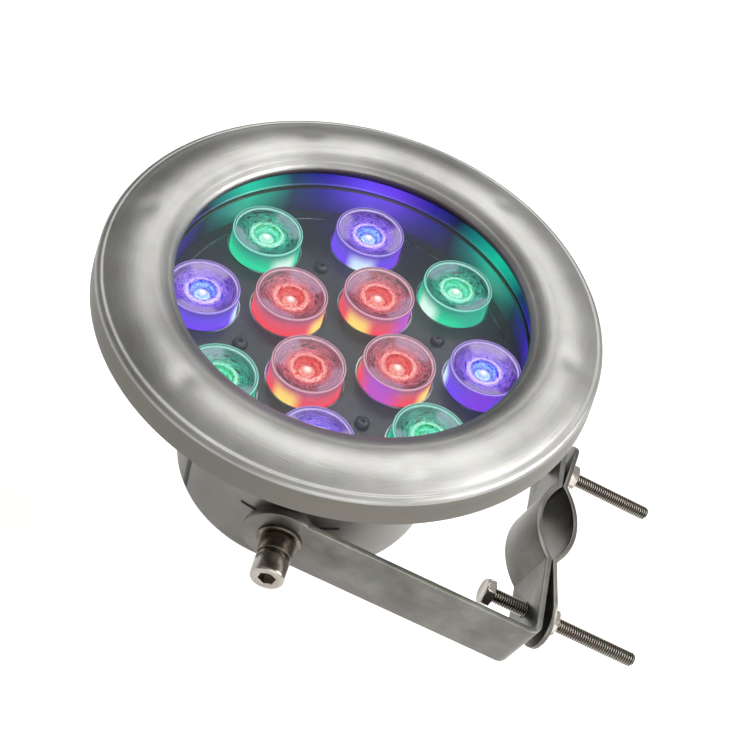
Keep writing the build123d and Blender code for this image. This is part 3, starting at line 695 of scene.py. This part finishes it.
red_acrylic = lit_acrylic("clear acrylic over a red LED", (
    (0.35, "#3A0814"), (0.375, "#F0304C"), (0.45, "#F2485E"), (0.54, "#DC5470"), (0.605, "#A05878"),
    (0.625, "#E8A8BC"), (0.637, "#5A3A50"), (0.652, "#F0C8D8"), (0.668, "#8A3A50"), (0.72, "#B45068"),
    (0.775, "#D85C6C"), (0.81, "#FFC4BC"), (0.835, "#D84A54"), (0.87, "#F06A68"), (0.91, "#D84048"),
    (0.935, "#FFB8A8"), (0.96, "#E85650")), "#FFE07A", "#FFF0E8", "#B050D8", "#D8B8E0")
green_acrylic = lit_acrylic("clear acrylic over a green LED", (
    (0.35, "#04342A"), (0.375, "#10C890"), (0.45, "#16DCA4"), (0.54, "#14B890"), (0.605, "#1E8A7C"),
    (0.625, "#90F0DC"), (0.637, "#1A5A58"), (0.652, "#B8F4E8"), (0.668, "#147060"), (0.72, "#1E9480"),
    (0.775, "#2CB898"), (0.81, "#C8FFEE"), (0.835, "#2CC8A0"), (0.87, "#80F0D4"), (0.91, "#30C8A4"),
    (0.935, "#D8FFF4"), (0.96, "#60E8C8")), "#E0FFF4", "#FFFFFF", "#2AA890", "#C8D8F0")
blue_acrylic = lit_acrylic("clear acrylic over a blue LED", (
    (0.35, "#14063C"), (0.375, "#6030F0"), (0.45, "#7440F4"), (0.54, "#6A48E8"), (0.605, "#5840B8"),
    (0.625, "#B8A0FF"), (0.637, "#40287C"), (0.652, "#DCC8FF"), (0.668, "#5A34A8"), (0.72, "#7A4CD4"),
    (0.775, "#9A70EC"), (0.81, "#F0E0FF"), (0.835, "#6A60F0"), (0.87, "#A8D0FF"), (0.91, "#6878F0"),
    (0.935, "#E0F8FF"), (0.96, "#80B8FF")), "#D8F4FF", "#FFFFFF", "#8038E0", "#E4D4FA")
for name, ring, first, surface in (("red", INNER_RING, ARRAY_ANGLE + math.pi / 8, red_acrylic),
                                   ("green", OUTER_RING, ARRAY_ANGLE, green_acrylic),
                                   ("blue", OUTER_RING, ARRAY_ANGLE + math.pi / 4, blue_acrylic)):
    ring_of(f"lit_optics_{name}", optic_shape(), 4, ring, first, surface, [f"optics_{name}"])

# The emitters are small bright squares of phosphor under the optics.
for name, code in (("red", "#FF5040"), ("green", "#30FFB0"), ("blue", "#6060FF")):
    emitter, tree, shader = material(f"lit {name} LED")
    coordinates = add(tree, "ShaderNodeTexCoord")
    phosphor = add(tree, "ShaderNodeTexNoise", {"Scale": 900.0}, {"Vector": coordinates.outputs["Object"]})
    tone = add(tree, "ShaderNodeMix", {"data_type": "RGBA", 6: linear(code), 7: linear("#FFFFFF")},
               {0: phosphor.outputs["Fac"]})
    tree.links.new(tone.outputs[2], shader.inputs["Emission Color"])
    shader.inputs["Emission Strength"].default_value = 1.5
    nodes[f"leds_{name}"].material_slots[0].material = emitter


def mottled(name, colours, scale, roughness, metallic=0.0, relief=0.15):
    """A plain surface with a slight mottle, for the pieces that are seen only through gaps or from behind."""
    made, tree, shader = material(name)
    coordinates = add(tree, "ShaderNodeTexCoord")
    cloud = add(tree, "ShaderNodeTexNoise", {"Scale": scale, "Detail": 5.0},
                {"Vector": coordinates.outputs["Object"]})
    tone = add(tree, "ShaderNodeMix", {"data_type": "RGBA", 6: linear(colours[0]), 7: linear(colours[1])},
               {0: cloud.outputs["Fac"]})
    tree.links.new(tone.outputs[2], shader.inputs["Base Color"])
    shader.inputs["Roughness"].default_value = roughness
    shader.inputs["Metallic"].default_value = metallic
    uneven = add(tree, "ShaderNodeBump", {"Strength": relief, "Distance": 0.0003},
                 {"Height": cloud.outputs["Fac"]})
    tree.links.new(uneven.outputs[0], shader.inputs["Normal"])
    return made


for names, surface in (
    (("heat_spreader",), mottled("milled aluminium", ("#A9ACB0", "#C0C2C5"), 500.0, 0.35, 1.0)),
    (("led_board",), mottled("white solder mask", ("#D8D8D4", "#EBEBE8"), 300.0, 0.5)),
    (("driver_board",), mottled("green solder mask", ("#0C3A1C", "#145A2C"), 300.0, 0.4)),
    (("driver_coil",), mottled("varnished copper winding", ("#6A3418", "#9A5426"), 900.0, 0.35, 0.6)),
    (("driver_capacitors",), mottled("black shrink sleeve", ("#0C0E14", "#1A1E28"), 400.0, 0.4)),
    (("driver_posts", "plate_spacers"), mottled("natural nylon", ("#C8C4B8", "#DEDAD0"), 300.0, 0.5)),
):
    for name in names:
        nodes[name].material_slots[0].material = surface

# ---------------------------------------------------------------- screws, studs and nuts on the head
# Four painted pan-head screws hold the optics plate. Six studs welded under the bezel pull it down on the
# pan's flange with plain hexagon nuts, seen only from behind. Studs and nuts are bright machined stainless.
bright_steel, tree, shader = material("bright machined stainless")
coordinates = add(tree, "ShaderNodeTexCoord")
turning = add(tree, "ShaderNodeTexNoise", {"Scale": 1800.0, "Detail": 3.0},
              {"Vector": coordinates.outputs["Object"]})
smear = add(tree, "ShaderNodeTexNoise", {"Scale": 160.0, "Detail": 4.0},
            {"Vector": coordinates.outputs["Object"]})
tone = add(tree, "ShaderNodeMix", {"data_type": "RGBA", 6: linear("#7E776F"), 7: linear("#BDB7AF")},
           {0: smear.outputs["Fac"]})
tree.links.new(tone.outputs[2], shader.inputs["Base Color"])
gloss = add(tree, "ShaderNodeMapRange", {"To Min": 0.14, "To Max": 0.34}, {"Value": smear.outputs["Fac"]})
tree.links.new(gloss.outputs[0], shader.inputs["Roughness"])
relief = add(tree, "ShaderNodeBump", {"Strength": 0.06, "Distance": 0.0002},
             {"Height": turning.outputs["Fac"]})
tree.links.new(relief.outputs[0], shader.inputs["Normal"])
shader.inputs["Metallic"].default_value = 1.0

screw_outline = [(0, 43.3), (1.5, 43.3), (1.5, 51.0), (2.8, 51.0), (2.8, 51.8), (2.5, 52.4), (1.9, 52.8),
                 (1.2, 52.8, 1.8), (1.2, 52.0, 1.8), (0, 52.0)]
ring_of("plate_screws_pan_head", turned(screw_outline, 36, upright_place, closed=False), 4, 38.0,
        ARRAY_ANGLE - math.pi / 8, plate_paint, ["plate_screws"])
nut_outline = [(2.05, 61.6), (3.3, 61.6), (3.6, 61.75), (4.05, 62.1), (4.05, 64.3), (3.6, 64.65), (3.3, 64.8),
               (2.05, 64.8)]
nut_outline = [(radius, height, 7.0) if radius > 3 else (radius, height) for radius, height in nut_outline]
ring_of("flange_nuts_hexagon", turned(nut_outline, 48, upright_place), STUD_COUNT, STUD_CIRCLE,
        FIRST_STUD, bright_steel, ["flange_nuts"])
stud_outline = [(0, 59.6), (1.6, 59.6), (2.0, 60.0), (2.0, 79.6), (2.6, 80.6), (0, 80.6)]
ring_of("bezel_studs_threaded", turned(stud_outline, 32, upright_place, closed=False), STUD_COUNT,
        STUD_CIRCLE, FIRST_STUD, bright_steel, ["bezel_studs"])

# ---------------------------------------------------------------- cable gland
# A turned stainless gland screwed through the cup's floor: hexagon body and dome nut with a rubber seal.
# No cable is fitted, so the bore is open.
nodes["gland_inside_nut"].material_slots[0].material = bright_steel


def edged_copy(name, node, surface, body, edge=0.3, crease=30):
    """A copy of a CAD piece with its sharp edges broken, as tumbled or deburred metal has."""
    mesh = nodes[node].data.copy()
    mesh.name = name
    mesh.transform(nodes[node].matrix_world)
    shape = bmesh.new()
    shape.from_mesh(mesh)
    bmesh.ops.remove_doubles(shape, verts=shape.verts, dist=2e-6)
    bmesh.ops.dissolve_limit(shape, angle_limit=math.radians(0.8), verts=shape.verts, edges=shape.edges)
    shape.to_mesh(mesh)
    shape.free()
    mesh.materials.clear()
    mesh.materials.append(surface)
    piece = bpy.data.objects.new(name + "_rough", mesh)
    bpy.context.collection.objects.link(piece)
    bevel = piece.modifiers.new("broken edge", "BEVEL")
    bevel.width = edge * MM
    bevel.segments = 2
    bevel.limit_method = "ANGLE"
    bevel.angle_limit = math.radians(crease)
    bpy.context.view_layer.update()
    evaluated = piece.evaluated_get(bpy.context.evaluated_depsgraph_get())
    smooth = bpy.data.meshes.new_from_object(evaluated)
    bpy.data.objects.remove(piece)
    smooth.polygons.foreach_set("use_smooth", [True] * len(smooth.polygons))
    smooth.set_sharp_from_angle(angle=math.radians(crease))
    piece = bpy.data.objects.new(name, smooth)
    bpy.context.collection.objects.link(piece)
    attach(piece, body)
    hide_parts(node)
    return piece


edged_copy("gland_body_turned", "gland_body", bright_steel, "head", 0.35)
edged_copy("gland_dome_nut_turned", "gland_dome_nut", bright_steel, "head", 0.35)

# ---------------------------------------------------------------- pivots
# On each side a boss is welded to the cup, and an M8 cap screw with a washer, a sleeve and a spring washer
# clamps the arm on it. Bright stainless, with a hexagon socket in the cap.
screw_low, screw_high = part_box("pivot_screws")
FACE = (screw_high[1] - screw_low[1]) / 2 / MM
edged_copy("pivot_bosses_welded", "pivot_bosses", shaded_shell_steel, "head", 0.3)
# Darker than the screw, with darker mottling in its turning marks.
sleeve_steel, tree, shader = material("dull turned sleeve")
coordinates = add(tree, "ShaderNodeTexCoord")
dark_mottle = add(tree, "ShaderNodeTexNoise", {"Scale": 220.0, "Detail": 4.0},
             {"Vector": coordinates.outputs["Object"]})
tree.links.new(ramp_of(tree, dark_mottle.outputs["Fac"], ((0.3, "#4A443C"), (0.6, "#7A7266"))),
               shader.inputs["Base Color"])
shader.inputs["Metallic"].default_value = 1.0
shader.inputs["Roughness"].default_value = 0.24

pivot_pieces = {
    "pivot_washer": ([(4.1, 56.0), (8.2, 56.0), (8.5, 56.3), (8.5, 57.2), (8.1, 57.6), (4.1, 57.6)],
                     sleeve_steel, "pivot_washers"),
    "pivot_sleeve": ([(4.1, 57.6), (6.3, 57.6), (6.6, 57.9), (6.6, 64.2), (6.3, 64.6), (4.1, 64.6)],
                     sleeve_steel, "pivot_sleeves"),
    "spring_washer": ([(4.1, 64.6), (5.9, 64.6), (6.0, 64.9), (6.0, 66.2), (5.9, 66.6), (4.1, 66.6)],
                      sleeve_steel, "spring_washers"),
    "cap_screw": ([(0, FACE - 4.5), (3.4, FACE - 4.5, 6.0), (3.5, FACE - 0.35, 6.0), (3.75, FACE),
                   (5.6, FACE), (6.1, FACE - 0.2), (6.4, FACE - 0.6), (6.5, FACE - 1.1), (6.5, FACE - 7.6),
                   (6.3, FACE - 8.0), (4.0, FACE - 8.0), (4.0, 46.0), (0, 46.0)],
                  bright_steel, "pivot_screws"),
}
for name, (outline, surface, node) in pivot_pieces.items():
    both = bmesh.new()
    for side in (1, -1):
        out = Matrix((Vector((1, 0, 0)), Vector((0, 0, -side)), Vector((0, side, 0)))).transposed().to_4x4()
        one = turned(outline, 72, Matrix.Translation(pivot) @ out, closed=outline[0][0] > 0)
        mesh = bpy.data.meshes.new("half")
        one.to_mesh(mesh)
        one.free()
        both.from_mesh(mesh)
        bpy.data.meshes.remove(mesh)
    finished(name + "_pair", both, surface, "head", [node])

# ---------------------------------------------------------------- yoke and clamp plate
# A U bent from 26 x 2.5 mm stainless strip with a saddle pressed in its web, and a shorter strip that closes
# on the pipe. Mill finish with rolling lines along the strip, edges sheared and tumbled.


def rolled_strip(name, colours, roughness):
    """Mill-finish strip: fine lines along the rolling direction, stains and fine grain."""
    made, tree, shader = material(name)
    coordinates = add(tree, "ShaderNodeTexCoord")
    lines_place = add(tree, "ShaderNodeMapping", {"Scale": (22.0, 22.0, 1300.0)},
                      {"Vector": coordinates.outputs["Object"]})
    lines = add(tree, "ShaderNodeTexNoise", {"Scale": 1.0, "Detail": 4.0}, {"Vector": lines_place.outputs[0]})
    stain = add(tree, "ShaderNodeTexNoise", {"Scale": 45.0, "Detail": 6.0, "Roughness": 0.6},
                {"Vector": coordinates.outputs["Object"]})
    grain = add(tree, "ShaderNodeTexNoise", {"Scale": 1500.0}, {"Vector": coordinates.outputs["Object"]})
    tone = ramp_of(tree, stain.outputs["Fac"], ((0.32, colours[0]), (0.52, colours[1]), (0.72, colours[2])))
    streaked = add(tree, "ShaderNodeMix", {"data_type": "RGBA", "blend_type": "MULTIPLY", 0: 0.25},
                   {6: tone, 7: lines.outputs["Color"]})
    tree.links.new(streaked.outputs[2], shader.inputs["Base Color"])
    dull = add(tree, "ShaderNodeMapRange", {"To Min": roughness[0], "To Max": roughness[1]},
               {"Value": stain.outputs["Fac"]})
    tree.links.new(dull.outputs[0], shader.inputs["Roughness"])
    height = add(tree, "ShaderNodeMix", {0: 0.4}, {2: lines.outputs["Fac"], 3: grain.outputs["Fac"]})
    relief = add(tree, "ShaderNodeBump", {"Strength": 0.12, "Distance": 0.0003},
                 {"Height": height.outputs[0]})
    tree.links.new(relief.outputs[0], shader.inputs["Normal"])
    shader.inputs["Metallic"].default_value = 1.0
    return made


strip_steel = rolled_strip("mill-finish stainless strip", ("#5F5D59", "#73716C", "#888681"), (0.34, 0.48))
edged_copy("yoke_strip", "yoke", strip_steel, "yoke", 0.4)
edged_copy("clamp_plate_strip", "clamp_plate", strip_steel, "plate", 0.35)

# ---------------------------------------------------------------- clamp bolts and nuts
# Two M6 hexagon bolts threaded to the head, with plain nuts. Rolled threads of 1 mm pitch with painted shade in
# their flanks, chamfered heads and nuts of bright stainless.
PITCH = 1.0
# Painted highlight, pale, on the crests and painted shade, brown-grey, in the flanks, so that each turn shows.
thread_steel, tree, shader = material("rolled stainless thread")
coordinates = add(tree, "ShaderNodeTexCoord")
rust = add(tree, "ShaderNodeTexNoise", {"Scale": 320.0, "Detail": 4.0},
           {"Vector": coordinates.outputs["Object"]})
crest = add(tree, "ShaderNodeAttribute", {"attribute_name": "crest"})
crest_highlight_flank_shade = add(tree, "ShaderNodeMix", {"data_type": "RGBA", 6: linear("#3A342E"), 7: linear("#CFC8BE")},
           {0: crest.outputs["Fac"]})
tone = add(tree, "ShaderNodeMix", {"data_type": "RGBA", "blend_type": "MULTIPLY", 0: 0.35},
           {6: crest_highlight_flank_shade.outputs[2], 7: rust.outputs["Color"]})
tree.links.new(tone.outputs[2], shader.inputs["Base Color"])
shader.inputs["Metallic"].default_value = 1.0
shader.inputs["Roughness"].default_value = 0.28


def threaded(start, end, outer, place, around=40, per_turn=6):
    """A rod with a helical thread, as a bmesh, with its crests marked for the painted highlight and flank shade.
    """
    thread_depth, chamfer = 0.55, 0.9
    shape = bmesh.new()
    mark = shape.verts.layers.float.new("crest")
    steps = int((end - start) / PITCH * per_turn)
    rows = []
    for k in range(steps + 1):
        height = start + (end - start) * k / steps
        row = []
        for i in range(around):
            phase = (height / PITCH - i / around) % 1.0
            depth = abs(2 * phase - 1)
            taper = min(1.0, (end - height) / chamfer, (height - start) / chamfer + 0.25)
            radius = outer - thread_depth * min(1.0, 1.25 * depth) - 0.5 * (1 - taper)
            angle = 2 * math.pi * i / around
            vertex = shape.verts.new(place @ Vector((radius * MM * math.cos(angle),
                                                     radius * MM * math.sin(angle), height * MM)))
            vertex[mark] = max(0.0, 1 - 1.6 * depth)
            row.append(vertex)
        rows.append(row)
    for low, high in zip(rows, rows[1:]):
        for i in range(around):
            j = (i + 1) % around
            shape.faces.new((low[i], low[j], high[j], high[i]))
    shape.faces.new(rows[0])
    shape.faces.new(rows[-1])
    return shape


for end in ("near", "far"):
    low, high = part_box(f"clamp_bolt_{end}")
    axis = Matrix.Translation((0, (low[1] + high[1]) / 2, 0)) @ Matrix.Rotation(-math.pi / 2, 4, "Y")
    tip, top = -low[0] / MM, -high[0] / MM
    underside = top + 4.0
    rod = threaded(underside, tip, 3.0, axis)
    finished(f"clamp_bolt_{end}_thread", rod, thread_steel, f"bolt_{end}", [f"clamp_bolt_{end}"],
             crease=80)
    head_outline = [(0, top + 0.25), (4.0, top + 0.25), (4.5, top), (4.9, top + 0.05, 10.0),
                    (5.35, top + 0.3, 10.0), (5.85, top + 0.75, 10.0), (5.85, underside - 0.35, 10.0),
                    (4.9, underside - 0.3), (4.7, underside), (0, underside)]
    finished(f"clamp_bolt_{end}_head", turned(head_outline, 96, axis, closed=False), bright_steel,
             f"bolt_{end}")
    low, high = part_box(f"clamp_nut_{end}")
    inner, outer = -high[0] / MM, -low[0] / MM
    nut_shape = [(3.05, inner), (4.8, inner), (5.3, inner + 0.2), (5.85, inner + 0.6), (5.85, outer - 0.6),
                 (5.3, outer - 0.2), (4.8, outer), (3.4, outer), (3.05, outer - 0.35)]
    nut_shape = [(radius, height, 10.0) if radius > 4.7 else (radius, height) for radius, height in nut_shape]
    finished(f"clamp_nut_{end}_hexagon", turned(nut_shape, 96, axis), bright_steel, f"nut_{end}",
             [f"clamp_nut_{end}"])
